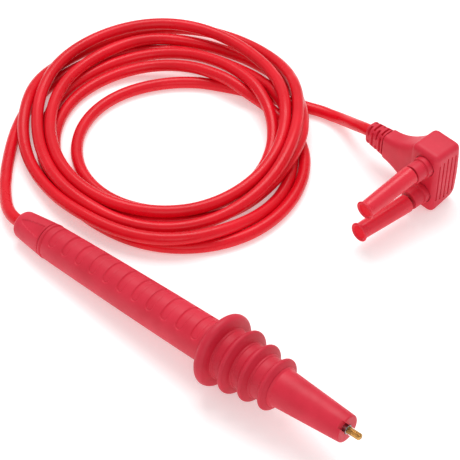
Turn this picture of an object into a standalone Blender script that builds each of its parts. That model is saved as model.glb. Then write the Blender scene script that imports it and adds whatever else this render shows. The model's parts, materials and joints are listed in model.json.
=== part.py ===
"""Insulation-tester test lead: a guarded probe, its coiled cable and a right-angle double plug.

The probe lies along +X with its tip at +X, resting on the rim of the finger guard and on the
handle's rear lip. The cable coil and the plug lie beside it on the same surface, towards +Y.
"""

import math

import bmesh
import bpy
from mathutils import Matrix, Vector

MM = 0.001
GAP = 0.3

# Probe, in mm. Stations run along the probe's axis from the middle of the first guard rib.
BOOT_END = -115.5
SEAM = -98.0
GUARD_REAR = -5.7
NOSE_SHOULDER = 31.3
NOSE_END = 62.0
STUD_END = 68.3
BOOT_END_RADIUS = 6.0
SEAM_RADIUS = 7.9
HANDLE_REAR_RADIUS = 7.75
HANDLE_FRONT_RADIUS = 9.15
NOSE_REAR_RADIUS = 7.9
FACET_TURN = math.radians(24)
NOSE_END_RADIUS = 5.75
RIB_STATIONS = (0.0, 10.0, 18.8, 27.8)
RIB_RADII = (15.5, 13.6, 12.2, 11.0)
RIB_HALF_WIDTHS = (2.7, 2.1, 2.0, 1.9)
GROOVE_RADII = (10.6, 9.6, 9.0)
STEM_RADIUS = 5.0
STEM_SOCKET_RADIUS = 5.3
HANDLE_BORE_RADIUS = 4.6
STEM_END = -14.0
NOSE_BORE_RADIUS = 3.2
STUD_SEAT = 55.5
SLOT_WIDTH = 3.2
SLOT_TURN = math.radians(32)
SLOT_DEPTH = 1.7
FERRULE_RADIUS = 1.9
FERRULE_ENDS = (59.2, 62.4)
STUD_RADIUS = 1.45
THREAD_PITCH = 0.7
ROD_RADIUS = 1.5
ROD_ENDS = (-62.0, 56.7)
LINER_RADII = (2.9, 1.8)
LINER_ENDS = (-52.0, 55.0)
CLAMP_RADIUS = 4.3
CLAMP_ENDS = (-89.0, -82.0)
GRIP_COUNT = 11
GRIP_PITCH = 8.2
GRIP_WIDTH = 4.0
GRIP_DEPTH = 0.45
GRIP_SPREAD = math.radians(102)
FIRST_GRIP = -91.0

# The probe rests on its first rib and on the lip at the seam, and so tilts.
TILT = math.atan((RIB_RADII[0] - SEAM_RADIUS) / -SEAM)
RIB_X = 22.95
RIM_RADIUS = RIB_RADII[0] - RIB_HALF_WIDTHS[0]
AXIS_HEIGHT = RIM_RADIUS * math.cos(TILT) + RIB_HALF_WIDTHS[0]

# Cable, in mm.
CABLE_RADIUS = 2.75
CABLE_BORE = CABLE_RADIUS + GAP
JACKET_BORE = 1.15
CORE_RADIUS = 0.9
COIL_CENTRE = (-85.0, 84.2)
COIL_OUTER = 70.8
COIL_INNER = 33.5
COIL_HEIGHT = 18.0
# The free stretches: the first follows on from the boot, and the second ends at the strain relief.
PROBE_RUN = (
    (-98.5, 0.3, 6.0),
    (-106.0, 3.6, 4.7),
    (-115.0, 10.4, 3.2),
    (-121.5, 16.8, 2.85),
    (-127.3, 23.3, 2.77),
)
PLUG_RUN = (
    (-40.5, 143.9, 3.3),
    (-32.6, 143.1, 5.7),
    (-23.0, 139.7, 10.7),
)

# Plug, in mm, in its own frame: u along the cable arm and away from it, v away from the pins.
PLUG_PLACE = (23.2, 134.4)
PLUG_TURN = math.radians(-5.0)
BLOCK_WIDTH = 15.0
BLOCK_DEPTH = 15.6
PLUG_HEIGHT = 32.0
BLOCK_CORNER = 2.4
BLOCK_ROUNDING = 1.9
PIN_PITCH = 15.2
PIN_MIDDLE = 16.7
PIN_U = 0.9
ARM_V = -0.6
ARM_HEIGHT = 15.0
ARM_END = -25.6
RELIEF_END = -36.2
COLLAR_LENGTH = 8.0
COLLAR_RADIUS = 4.4
COLLAR_BASE_RADIUS = 4.8
COLLAR_SINK = 0.5
COLLAR_BORE = 1.75
PIN_BORE = 2.3
PIN_LENGTH = 19.0
PIN_CORE_RADIUS = 1.35
CAP_LENGTH = 28.0
CAP_BASE_RADIUS = 4.1
CAP_END_RADIUS = 3.7
CAP_LIP_RADIUS = 4.4
CAP_BORE = 3.1
# How far each loose cap hangs out of line with its pin: upwards, and towards the arm.
CAP_PITCHES = {"upper": math.radians(-5.6), "lower": math.radians(0.5)}
CAP_YAWS = {"upper": 0.0, "lower": math.radians(3.5)}
CAP_STANDOFFS = {"upper": 0.0, "lower": 1.2}
# A loose cap tilts about a point this far out along the pin.
CAP_PIVOT = 8.5

COLOURS = {
    "matte_red": ((0.62, 0.035, 0.055), 0.55, 0.0),
    "guard_red": ((0.60, 0.030, 0.050), 0.60, 0.0),
    "cable_red": ((0.66, 0.012, 0.022), 0.32, 0.0),
    "cap_red": ((0.72, 0.020, 0.032), 0.36, 0.0),
    "liner_white": ((0.80, 0.79, 0.75), 0.45, 0.0),
    "brass": ((0.72, 0.48, 0.18), 0.30, 1.0),
    "steel": ((0.55, 0.54, 0.52), 0.35, 1.0),
    "copper": ((0.72, 0.32, 0.18), 0.35, 1.0),
}


def clear_scene():
    for obj in list(bpy.data.objects):
        bpy.data.objects.remove(obj, do_unlink=True)


def make_material(name):
    colour, roughness, metallic = COLOURS[name]
    material = bpy.data.materials.new(name)
    material.use_nodes = True
    shader = material.node_tree.nodes["Principled BSDF"]
    shader.inputs["Base Color"].default_value = (*colour, 1.0)
    shader.inputs["Roughness"].default_value = roughness
    shader.inputs["Metallic"].default_value = metallic
    material.diffuse_color = (*colour, 1.0)
    return material


def add_object(name, data, collection, parent=None, material=None):
    obj = bpy.data.objects.new(name, data)
    collection.objects.link(obj)
    obj.parent = parent
    if material:
        data.materials.append(material)
    return obj


def make_empty(name, matrix, parent=None):
    empty = bpy.data.objects.new(name, None)
    PARTS.objects.link(empty)
    empty.parent = parent
    empty.matrix_local = matrix
    empty.empty_display_size = 0.01
    return empty


def arc(centre, radius, start, end, count):
    """Points (r, z) on an arc about a centre, from one angle to another, in degrees."""
    points = []
    for step in range(count + 1):
        angle = math.radians(start + (end - start) * step / count)
        points.append((centre[0] + radius * math.cos(angle), centre[1] + radius * math.sin(angle)))
    return points


def turned(name, profile, slot, parent, steps=48, closed=True, collection=None):
    """A solid of revolution about local Z. The profile runs down its outer side, then up its bore."""
    mesh = bpy.data.meshes.new(name)
    points = [(r * MM, 0.0, z * MM) for r, z in profile]
    edges = [(i, i + 1) for i in range(len(points) - 1)]
    if closed:
        edges.append((len(points) - 1, 0))
    mesh.from_pydata(points, edges, [])
    obj = add_object(name, mesh, collection or PARTS, parent, MATERIALS[slot] if slot else None)
    screw = obj.modifiers.new("Turn", "SCREW")
    screw.axis = "Z"
    screw.steps = steps
    screw.render_steps = steps
    screw.use_merge_vertices = True
    screw.merge_threshold = 0.00001
    screw.use_smooth_shade = True
    return obj


def tube_profile(outer, inner, low, high):
    return [(outer, high), (outer, low), (inner, low), (inner, high)]


def cut(target, cutter):
    """A Boolean difference, with the cutter kept hidden."""
    cutter.hide_render = True
    cutter.display_type = "WIRE"
    modifier = target.modifiers.new("Cut " + cutter.name, "BOOLEAN")
    modifier.operation = "DIFFERENCE"
    modifier.solver = "EXACT"
    modifier.object = cutter


def box(name, size, place, parent, collection, material=None, turn=None):
    mesh = bpy.data.meshes.new(name)
    shape = bmesh.new()
    bmesh.ops.create_cube(shape, size=1.0)
    bmesh.ops.scale(shape, vec=[side * MM for side in size], verts=shape.verts)
    shape.to_mesh(mesh)
    shape.free()
    obj = add_object(name, mesh, collection, parent, material)
    obj.matrix_local = Matrix.Translation(Vector(place) * MM) @ (turn or Matrix())
    return obj


def box_cutter(name, size, place, parent, turn=None):
    return box(name, size, place, parent, CUTTERS, None, turn)


# ---------------------------------------------------------------- probe


def handle_radius(station):
    """The handle's outer radius: a slight cone that swells a little in the middle."""
    along = (station - SEAM) / (GUARD_REAR - SEAM)
    swell = 0.25 * 4 * along * (1 - along)
    return HANDLE_REAR_RADIUS + (HANDLE_FRONT_RADIUS - HANDLE_REAR_RADIUS) * along + swell


def grip_cutters(parent):
    """One mesh of curved bars, each an arc over the top of the handle."""
    mesh = bpy.data.meshes.new("grip_cutters")
    shape = bmesh.new()
    for index in range(GRIP_COUNT):
        station = FIRST_GRIP + GRIP_PITCH * index
        inner = (handle_radius(station) - GRIP_DEPTH) * MM
        outer = inner + 3.0 * MM
        low = (station - GRIP_WIDTH / 2) * MM
        high = (station + GRIP_WIDTH / 2) * MM
        corners = [(inner, low), (outer, low), (outer, high), (inner, high)]
        start = Matrix.Rotation(math.pi - GRIP_SPREAD / 2, 4, "Z")
        verts = [shape.verts.new(start @ Vector((r, 0.0, z))) for r, z in corners]
        face = shape.faces.new(verts)
        bmesh.ops.spin(
            shape,
            geom=[face, *face.edges, *face.verts],
            cent=(0, 0, 0),
            axis=(0, 0, 1),
            angle=GRIP_SPREAD,
            steps=12,
            use_duplicate=False,
        )
    bmesh.ops.recalc_face_normals(shape, faces=shape.faces)
    shape.to_mesh(mesh)
    shape.free()
    return add_object("grip_cutters", mesh, CUTTERS, parent)


def make_handle(parent):
    lip = 1.2
    profile = [(HANDLE_FRONT_RADIUS, GUARD_REAR - GAP)]
    stations = [-16.0, -30.0, -45.0, -60.0, -75.0, -90.0]
    profile += [(handle_radius(s), s) for s in stations]
    profile += [
        (handle_radius(SEAM + 2.4), SEAM + 2.4),
        (HANDLE_REAR_RADIUS - 0.25, SEAM + 2.0),
        (HANDLE_REAR_RADIUS - 0.25, SEAM + lip + 0.3),
        (SEAM_RADIUS, SEAM + lip),
        (SEAM_RADIUS, SEAM + 0.3),
        (SEAM_RADIUS - 0.3, SEAM),
        (5.5, SEAM),
        (5.5, SEAM + 8.0),
        (HANDLE_BORE_RADIUS, SEAM + 8.0),
        (HANDLE_BORE_RADIUS, STEM_END - 1.0),
        (STEM_SOCKET_RADIUS, STEM_END - 1.0),
        (STEM_SOCKET_RADIUS, GUARD_REAR - GAP),
    ]
    handle = turned("probe_handle", profile, "matte_red", parent, steps=40)
    cut(handle, grip_cutters(parent))
    return handle


def make_boot(parent):
    """The tapered rear boot, with a flat arrow-shaped facet on top."""
    end = BOOT_END
    front = SEAM - GAP
    round_off = 1.6
    profile = [(5.2, front + 7.4), (5.2, front), (SEAM_RADIUS - 0.35, front)]
    profile += [(SEAM_RADIUS - 0.15, front - 0.4), (7.2, -106.0)]
    profile += arc((BOOT_END_RADIUS - round_off, end + round_off), round_off, 15, -90, 5)
    profile += [(CABLE_BORE, end), (CABLE_BORE, front + 7.4)]
    boot = turned("rear_boot", profile, "matte_red", parent, steps=40)
    # The flat faces a little to one side.
    aside = Matrix.Rotation(FACET_TURN, 4, "Z")
    place = aside @ Vector((-(BOOT_END_RADIUS + 2.62), 0.0, -105.5))
    slope = Matrix.Rotation(math.radians(4.5), 4, "Y")
    cut(boot, box_cutter("facet_cutter", (4.0, 16.0, 13.0), place, parent, aside @ slope))
    return boot


def make_guard(parent):
    """Four round-rimmed ribs that shrink towards the tip, with deep grooves between them."""
    front = NOSE_SHOULDER - GAP
    profile = [(STEM_SOCKET_RADIUS, front), (8.3, front), (8.6, front - 0.4)]
    for index in (3, 2, 1, 0):
        centre = RIB_STATIONS[index]
        half = RIB_HALF_WIDTHS[index]
        rim = RIB_RADII[index] - half
        profile += arc((rim, centre), half, 90, -90, 6)
        if index:
            groove = GROOVE_RADII[index - 1]
            middle = (centre + RIB_STATIONS[index - 1]) / 2
            profile += [(groove + 0.8, middle + 1.6), (groove, middle + 0.8), (groove, middle - 0.8)]
    profile += [(10.4, -3.9), (HANDLE_FRONT_RADIUS + 0.1, GUARD_REAR), (STEM_SOCKET_RADIUS, GUARD_REAR)]
    return turned("finger_guard", profile, "guard_red", parent, steps=40)


def make_nose(parent):
    """The insulating nose, whose stem passes back through the guard into the handle."""
    round_off = 0.7
    profile = arc((NOSE_END_RADIUS - round_off, NOSE_END - round_off), round_off, 90, 0, 4)
    profile += [
        (NOSE_REAR_RADIUS, NOSE_SHOULDER + 0.5),
        (NOSE_REAR_RADIUS - 0.3, NOSE_SHOULDER),
        (STEM_RADIUS, NOSE_SHOULDER),
        (STEM_RADIUS, STEM_END),
        (NOSE_BORE_RADIUS, STEM_END),
        (NOSE_BORE_RADIUS, STUD_SEAT),
        (STUD_RADIUS + GAP, STUD_SEAT),
        (STUD_RADIUS + GAP, FERRULE_ENDS[0] - GAP),
        (FERRULE_RADIUS + 0.2, FERRULE_ENDS[0] - GAP),
        (FERRULE_RADIUS + 0.2, NOSE_END),
    ]
    nose = turned("nose_cone", profile, "matte_red", parent, steps=40)
    slot = box_cutter(
        "slot_cutter",
        (20.0, SLOT_WIDTH, 2 * SLOT_DEPTH),
        (0.0, 0.0, NOSE_END),
        parent,
        Matrix.Rotation(SLOT_TURN, 4, "Z"),
    )
    cut(nose, slot)
    return nose


def make_stud(parent):
    """The threaded stud: a shank, ring-shaped ridges at the thread's pitch and a rounded end."""
    pitch = THREAD_PITCH
    ridges = 10
    root = STUD_RADIUS - 0.25
    end = STUD_END
    profile = [(0.0, end), (0.7, end - 0.05), (1.2, end - 0.4)]
    top = end - 0.9
    for index in range(ridges):
        z = top - index * pitch
        profile += [(root, z), (STUD_RADIUS, z - pitch / 2)]
    profile += [(root, top - ridges * pitch), (root, 57.0), (0.0, 57.0)]
    return turned("threaded_tip", profile, "brass", parent, steps=20, closed=False)


def make_probe_inside(parent):
    """The conductor's way through the probe, from the cable's end to the stud."""
    low, high = ROD_ENDS
    rod = [(0.0, high), (ROD_RADIUS, high), (ROD_RADIUS, low), (0.0, low)]
    turned("probe_rod", rod, "steel", parent, steps=20, closed=False)
    turned("rod_liner", tube_profile(*LINER_RADII, *LINER_ENDS), "liner_white", parent, steps=24)
    ferrule = tube_profile(FERRULE_RADIUS, STUD_RADIUS + 0.2, *FERRULE_ENDS)
    turned("tip_ferrule", ferrule, "steel", parent, steps=24)
    head, foot, seat = low - GAP, low - 12.0, low - 2.0
    crimp = [(0.0, head), (2.1, head), (2.1, foot), (1.2, foot), (1.2, seat), (0.0, seat)]
    turned("rod_crimp", crimp, "steel", parent, steps=24, closed=False)
    head, foot = seat - GAP, low - 42.0
    core = [(0.0, head), (CORE_RADIUS, head), (CORE_RADIUS, foot), (0.0, foot)]
    turned("probe_lead_core", core, "copper", parent, steps=16, closed=False)
    jacket = tube_profile(CABLE_RADIUS, JACKET_BORE, BOOT_END + GAP, -80.0)
    turned("probe_jacket_end", jacket, "cable_red", parent, steps=24)
    clamp = tube_profile(CLAMP_RADIUS, CABLE_BORE, *CLAMP_ENDS)
    turned("cable_clamp", clamp, "liner_white", parent, steps=32)


# ---------------------------------------------------------------- cable


def smooth_route(points, spacing):
    """Points about one spacing apart on a Catmull-Rom curve through a route."""
    route = [Vector(p) for p in points]
    ends = [route[0] * 2 - route[1], *route, route[-1] * 2 - route[-2]]
    found = []
    for i in range(1, len(ends) - 2):
        a, b, c, d = ends[i - 1], ends[i], ends[i + 1], ends[i + 2]
        count = max(1, round((c - b).length / spacing))
        for step in range(count):
            t = step / count
            found.append(
                0.5 * (2 * b + (c - a) * t + (2 * a - 5 * b + 4 * c - d) * t**2
                       + (3 * b - a - 3 * c + d) * t**3)
            )
    found.append(route[-1])
    return found


def make_run(name, route):
    """A free stretch of cable: a round tube with closed ends."""
    points = smooth_route(route, 2.2 * CABLE_RADIUS)
    curve = bpy.data.curves.new(name, "CURVE")
    curve.dimensions = "3D"
    curve.bevel_depth = CABLE_RADIUS * MM
    curve.bevel_resolution = 3
    curve.use_fill_caps = True
    spline = curve.splines.new("POLY")
    spline.points.add(len(points) - 1)
    for slot, point in zip(spline.points, points):
        slot.co = (*(point * MM), 1.0)
    return add_object(name, curve, PARTS, None, MATERIALS["cable_red"])


def probe_point(station):
    """A place on the probe's axis."""
    return (RIB_X + station * math.cos(TILT), 0.0, AXIS_HEIGHT + station * math.sin(TILT))


def plug_point(u, v, z):
    """A place given in the plug's own frame."""
    c, s = math.cos(PLUG_TURN), math.sin(PLUG_TURN)
    return (PLUG_PLACE[0] + c * u - s * v, PLUG_PLACE[1] + s * u + c * v, z)


def make_cable():
    x, y = COIL_CENTRE
    place = make_empty("coil_place", Matrix.Translation((x * MM, y * MM, 0.0)))
    corner = 1.5
    top = COIL_HEIGHT
    profile = arc((COIL_OUTER - corner, top - corner), corner, 90, 0, 3)
    profile += [(COIL_OUTER, 0.4), (COIL_OUTER - 0.4, 0.0), (COIL_INNER + 0.4, 0.0), (COIL_INNER, 0.4)]
    profile += arc((COIL_INNER + corner, top - corner), corner, 180, 90, 3)
    turned("cord_coil", profile, "cable_red", place, steps=64)
    make_run("cord_probe_run", [probe_point(BOOT_END - GAP), *PROBE_RUN])
    relief = [plug_point(RELIEF_END - GAP - out, ARM_V, ARM_HEIGHT) for out in (1.5, 0.0)]
    make_run("cord_plug_run", [*PLUG_RUN, *relief])


# ---------------------------------------------------------------- plug


def loft(name, rings, collection, material=None):
    """A closed skin over rings of points in mm, with a face over each end."""
    mesh = bpy.data.meshes.new(name)
    shape = bmesh.new()
    rows = [[shape.verts.new(Vector(point) * MM) for point in ring] for ring in rings]
    for first, second in zip(rows, rows[1:]):
        for i in range(len(first)):
            j = (i + 1) % len(first)
            shape.faces.new((first[i], first[j], second[j], second[i]))
    shape.faces.new(rows[0])
    shape.faces.new(rows[-1])
    bmesh.ops.recalc_face_normals(shape, faces=shape.faces)
    shape.to_mesh(mesh)
    shape.free()
    return add_object(name, mesh, collection, None, material)


def block_profile():
    """The block seen from the end, as (v, z) points: a flat front, a bowed back and a rounded heel."""
    front, top, corner = -BLOCK_DEPTH / 2, PLUG_HEIGHT, BLOCK_CORNER
    crown = 7.9
    heel, heel_radius = (3.2, 6.8), 5.0
    points = arc((front + corner, corner), corner, 270, 180, 3)
    points += arc((front + corner, top - corner), corner, 180, 90, 3)
    points += arc((crown - corner, top - corner), corner, 90, 10, 3)
    points += [(8.3, 24.0), (8.6, 17.5), (8.5, 11.5)]
    points += arc(heel, heel_radius, -5, -75, 4)
    return points


def inset(points, amount):
    """An outline drawn in from each of its sides by the same amount."""
    found = []
    for i, here in enumerate(points):
        before = Vector(here) - Vector(points[i - 1])
        after = Vector(points[(i + 1) % len(points)]) - Vector(here)
        first = Vector((before.y, -before.x)).normalized()
        second = Vector((after.y, -after.x)).normalized()
        inward = (first + second).normalized()
        found.append(Vector(here) + inward * amount / inward.dot(first))
    return found


def make_block():
    """The upright block, its side outline carried along u and drawn in round both ends."""
    outline = block_profile()
    steps = 3
    ends = []
    for step in range(steps + 1):
        angle = math.radians(90 * step / steps)
        ends.append(
            (BLOCK_WIDTH / 2 - BLOCK_ROUNDING * (1 - math.cos(angle)), BLOCK_ROUNDING * (1 - math.sin(angle)))
        )
    rings = [[(-u, *point) for point in inset(outline, drawn)] for u, drawn in ends]
    rings += [[(u, *point) for point in inset(outline, drawn)] for u, drawn in reversed(ends)]
    return loft("plug_body", rings, PARTS, MATERIALS["matte_red"])


def rounded_ring(u, half_v, top, bottom, power, sides):
    """A ring of points on a rounded oblong about the arm's own line."""
    ring = []
    for step in range(sides):
        angle = 2 * math.pi * step / sides
        c = math.copysign(abs(math.cos(angle)) ** power, math.cos(angle))
        s = math.copysign(abs(math.sin(angle)) ** power, math.sin(angle))
        ring.append((u, ARM_V + half_v * c, ARM_HEIGHT + (top if s > 0 else bottom) * s))
    return ring


def make_arm():
    """The arm between the strain relief and the block, which flares towards the block."""
    face = -BLOCK_WIDTH / 2
    sections = 9
    inside_block = 4.0
    rings = []
    for u in [ARM_END + (face - ARM_END) * i / (sections - 1) for i in range(sections)]:
        along = (u - ARM_END) / (face - ARM_END)
        half_v = 4.4 + 1.7 * along**1.5
        top = 6.6 + 8.6 * along**2
        bottom = 6.6 + 7.1 * along**1.6
        rings.append(rounded_ring(u, half_v, top, bottom, 0.5, 28))
    rings.append([(u + inside_block, v, z) for u, v, z in rings[-1]])
    return loft("arm", rings, CUTTERS)


def rod_cutter(name, radius, start, direction, length, parent, sides=24):
    """A round bar that starts at a place and runs along a direction."""
    mesh = bpy.data.meshes.new(name)
    shape = bmesh.new()
    bmesh.ops.create_cone(
        shape, cap_ends=True, segments=sides, radius1=radius * MM, radius2=radius * MM, depth=length * MM
    )
    bmesh.ops.translate(shape, vec=(0, 0, length / 2 * MM), verts=shape.verts)
    shape.to_mesh(mesh)
    shape.free()
    obj = add_object(name, mesh, CUTTERS, parent)
    turn = Vector((0, 0, 1)).rotation_difference(Vector(direction)).to_matrix().to_4x4()
    obj.matrix_local = Matrix.Translation(Vector(start) * MM) @ turn
    return obj


def pin_heights():
    return {"upper": PIN_MIDDLE + PIN_PITCH / 2, "lower": PIN_MIDDLE - PIN_PITCH / 2}


def make_plug_body(parent):
    """The block and its arm as one moulding, hollowed for the pins, their bridge and the cable."""
    body = make_block()
    body.parent = parent
    arm = make_arm()
    arm.parent = parent
    arm.hide_render = True
    join = body.modifiers.new("Join arm", "BOOLEAN")
    join.operation = "UNION"
    join.solver = "EXACT"
    join.object = arm
    for side, height in pin_heights().items():
        start = (PIN_U, 2.0, height)
        cut(body, rod_cutter("bore_" + side, PIN_BORE, start, (0, -1, 0), 14.0, parent))
        # The collar stands in a shallow counterbore, clear of its wall.
        seat = (PIN_U, -BLOCK_DEPTH / 2 + COLLAR_SINK + GAP, height)
        cut(body, rod_cutter("seat_" + side, COLLAR_BASE_RADIUS + GAP, seat, (0, -1, 0), 4.0, parent, 40))
    bridge_room = (5.2, 5.0, PIN_PITCH + 5.4)
    cut(body, box_cutter("bridge_cavity", bridge_room, (PIN_U, 2.6, PIN_MIDDLE), parent))
    start = (PIN_U + 0.5, ARM_V, ARM_HEIGHT)
    cut(body, rod_cutter("lead_way", CABLE_BORE, start, (-1, 0, 0), 40.0, parent))
    groove_span = 10.0
    groove_size = (1.2, 0.8, 21.0)
    grooves = 5
    for index in range(grooves):
        v = groove_span * (index / (grooves - 1) - 0.5)
        place = (BLOCK_WIDTH / 2, v - 0.3, PIN_MIDDLE - 0.1)
        cut(body, box_cutter(f"grip_groove_{index + 1}", groove_size, place, parent))
    return body


def make_strain_relief(parent):
    """A tapered bush round the cable, with slots on its sides and on its top and bottom by turns."""
    low, high = RELIEF_END, ARM_END - GAP
    rings = []
    for u, half_v, half_z in ((low, 3.6, 4.4), (low + 0.6, 3.95, 4.95), (high, 4.3, 6.4)):
        rings.append(rounded_ring(u, half_v, half_z, half_z, 0.62, 30))
    relief = loft("plug_strain_relief", rings, PARTS, MATERIALS["matte_red"])
    relief.parent = parent
    start = (high + 2.0, ARM_V, ARM_HEIGHT)
    cut(relief, rod_cutter("relief_bore", CABLE_BORE, start, (-1, 0, 0), 16.0, parent))
    slots = 4
    slot_width = 0.8
    slot_pitch = 2.3
    for index in range(slots):
        u = low + 1.9 + slot_pitch * index
        for side in (-1, 1):
            name = f"relief_slot_{index + 1}{'ab'[side > 0]}"
            if index % 2:
                size, place = (slot_width, 5.4, 3.0), (u, ARM_V, ARM_HEIGHT + side * 5.8)
            else:
                size, place = (slot_width, 2.0, 8.4), (u, ARM_V + side * 4.4, ARM_HEIGHT)
            cut(relief, box_cutter(name, size, place, parent))
    return relief


def make_pin_set(side, height, parent):
    """One contact: its insulating collar, pin core, spring cage and pull-off cap."""
    face = -BLOCK_DEPTH / 2
    out = Matrix.Rotation(math.pi / 2, 4, "X")
    axis = make_empty("pin_axis_" + side, Matrix.Translation(Vector((PIN_U, face, height)) * MM) @ out, parent)
    length = COLLAR_LENGTH
    collar = [
        (COLLAR_RADIUS - 0.25, length),
        (COLLAR_RADIUS, length - 0.3),
        (COLLAR_RADIUS, length - 4.2),
        (COLLAR_RADIUS - 0.6, length - 4.5),
        (COLLAR_RADIUS - 0.6, length - 5.2),
        (COLLAR_BASE_RADIUS, length - 5.5),
        (COLLAR_BASE_RADIUS, -COLLAR_SINK),
        (COLLAR_BORE, -COLLAR_SINK),
        (COLLAR_BORE, length),
    ]
    turned("pin_collar_" + side, collar, "matte_red", axis, steps=40)
    tip = length + PIN_LENGTH
    core = [(0.0, tip), (0.9, tip - 0.1), (1.45, tip - 0.6), (1.6, tip - 1.2), (1.6, tip - 2.4)]
    core += [(PIN_CORE_RADIUS, tip - 2.5), (PIN_CORE_RADIUS, -7.4), (0.0, -7.4)]
    turned("banana_pin_" + side, core, "brass", axis, steps=24, closed=False)
    make_cage(side, axis, length + 1.0, tip - 2.8)
    make_cap(side, axis, length + GAP)


def make_cage(side, axis, low, high):
    """A thin barrel of springs round the pin, cut by lengthwise slots."""
    bulge, ends, wall = 2.08, 1.85, 0.25
    count = 6
    outer = []
    for step in range(count + 1):
        along = step / count
        radius = ends + (bulge - ends) * math.sin(math.pi * along)
        outer.append((radius, high + (low - high) * along))
    inner = [(r - wall, z) for r, z in reversed(outer)]
    cage = turned("spring_cage_" + side, outer + inner, "brass", axis, steps=18)
    for index in range(3):
        slot = box_cutter(
            f"cage_slot_{side}_{index + 1}",
            (6.0, 0.5, (high - low) * 0.7),
            (0.0, 0.0, (low + high) / 2),
            axis,
            Matrix.Rotation(math.pi / 3 * index, 4, "Z"),
        )
        cut(cage, slot)
    return cage


def make_cap(side, axis, base):
    """The loose push-on cap: a tapered sleeve closed by a dished end with a rolled lip."""
    pitch, yaw = CAP_PITCHES[side], CAP_YAWS[side]
    pivot = Vector((0, 0, base + CAP_PIVOT)) * MM
    turn = Matrix.Rotation(-yaw, 4, "Y") @ Matrix.Rotation(-pitch, 4, "X")
    tilt = Matrix.Translation(pivot) @ turn @ Matrix.Translation(-pivot)
    frame = make_empty("cap_axis_" + side, tilt, axis)
    # The tilted base needs room to clear the collar's face.
    low = base + CAP_BASE_RADIUS * math.sin(math.hypot(pitch, yaw)) + CAP_STANDOFFS[side]
    high = low + CAP_LENGTH
    profile = [(0.0, high - 0.5), (CAP_LIP_RADIUS - 1.0, high - 0.4)]
    profile += arc((CAP_LIP_RADIUS - 0.5, high - 0.5), 0.5, 120, -60, 5)
    profile += [
        (CAP_END_RADIUS, high - 1.5),
        (CAP_BASE_RADIUS, low),
        (CAP_BORE, low),
        (CAP_BORE - 0.35, high - 2.2),
        (0.0, high - 2.2),
    ]
    return turned("protective_cap_" + side, profile, "cap_red", frame, steps=32, closed=False)


def make_plug_inside(parent):
    """The bridge between the pins, and the cable's crimped end in the arm."""
    bridge = (4.4, 1.6, PIN_PITCH + 4.2)
    box("pin_bridge", bridge, (PIN_U, 2.2, PIN_MIDDLE), parent, PARTS, MATERIALS["brass"])
    place = Matrix.Translation(Vector((0, ARM_V, ARM_HEIGHT)) * MM) @ Matrix.Rotation(math.pi / 2, 4, "Y")
    axis = make_empty("plug_lead_axis", place, parent)
    crimp = [(0.0, -4.4), (2.0, -4.4), (2.0, -14.0), (1.15, -14.0), (1.15, -6.0), (0.0, -6.0)]
    turned("plug_crimp", crimp, "steel", axis, steps=24, closed=False)
    core = [(0.0, -6.3), (CORE_RADIUS, -6.3), (CORE_RADIUS, -26.0), (0.0, -26.0)]
    turned("plug_lead_core", core, "copper", axis, steps=16, closed=False)
    jacket = tube_profile(CABLE_RADIUS, JACKET_BORE, RELIEF_END, -15.5)
    turned("plug_jacket_end", jacket, "cable_red", axis, steps=24)


def make_plug():
    x, y = PLUG_PLACE
    place = Matrix.Translation((x * MM, y * MM, 0.0)) @ Matrix.Rotation(PLUG_TURN, 4, "Z")
    parent = make_empty("plug_place", place)
    make_plug_body(parent)
    make_strain_relief(parent)
    make_plug_inside(parent)
    for side, height in pin_heights().items():
        make_pin_set(side, height, parent)


def make_probe():
    place = Matrix.Translation((RIB_X * MM, 0.0, AXIS_HEIGHT * MM))
    parent = make_empty("probe_axis", place @ Matrix.Rotation(math.pi / 2 - TILT, 4, "Y"))
    make_handle(parent)
    make_boot(parent)
    make_guard(parent)
    make_nose(parent)
    make_stud(parent)
    make_probe_inside(parent)


clear_scene()
PARTS = bpy.data.collections.new("test_lead")
CUTTERS = bpy.data.collections.new("cutters")
bpy.context.scene.collection.children.link(PARTS)
bpy.context.scene.collection.children.link(CUTTERS)
MATERIALS = {name: make_material(name) for name in COLOURS}
make_probe()
make_cable()
make_plug()
bpy.context.view_layer.update()
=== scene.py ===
import json
import math

import bmesh
import bpy
import numpy as np
from mathutils import Matrix, Vector


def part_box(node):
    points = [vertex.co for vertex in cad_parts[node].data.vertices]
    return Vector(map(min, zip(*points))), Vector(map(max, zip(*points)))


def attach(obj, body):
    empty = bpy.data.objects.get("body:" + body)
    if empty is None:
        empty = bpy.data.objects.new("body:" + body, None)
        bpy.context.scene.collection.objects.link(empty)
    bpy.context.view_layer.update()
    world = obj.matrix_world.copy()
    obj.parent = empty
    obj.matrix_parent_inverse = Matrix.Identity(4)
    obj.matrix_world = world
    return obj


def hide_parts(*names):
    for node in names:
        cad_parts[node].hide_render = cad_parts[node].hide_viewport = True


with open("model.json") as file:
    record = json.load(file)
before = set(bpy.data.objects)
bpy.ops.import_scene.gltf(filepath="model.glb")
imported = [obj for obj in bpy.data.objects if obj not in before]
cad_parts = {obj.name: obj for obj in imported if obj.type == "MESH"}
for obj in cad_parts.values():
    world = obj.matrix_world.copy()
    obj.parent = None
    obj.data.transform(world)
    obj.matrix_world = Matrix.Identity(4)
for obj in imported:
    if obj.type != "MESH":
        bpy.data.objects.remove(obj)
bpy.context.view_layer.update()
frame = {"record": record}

MM = 0.001
GAP = 0.3

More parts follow.
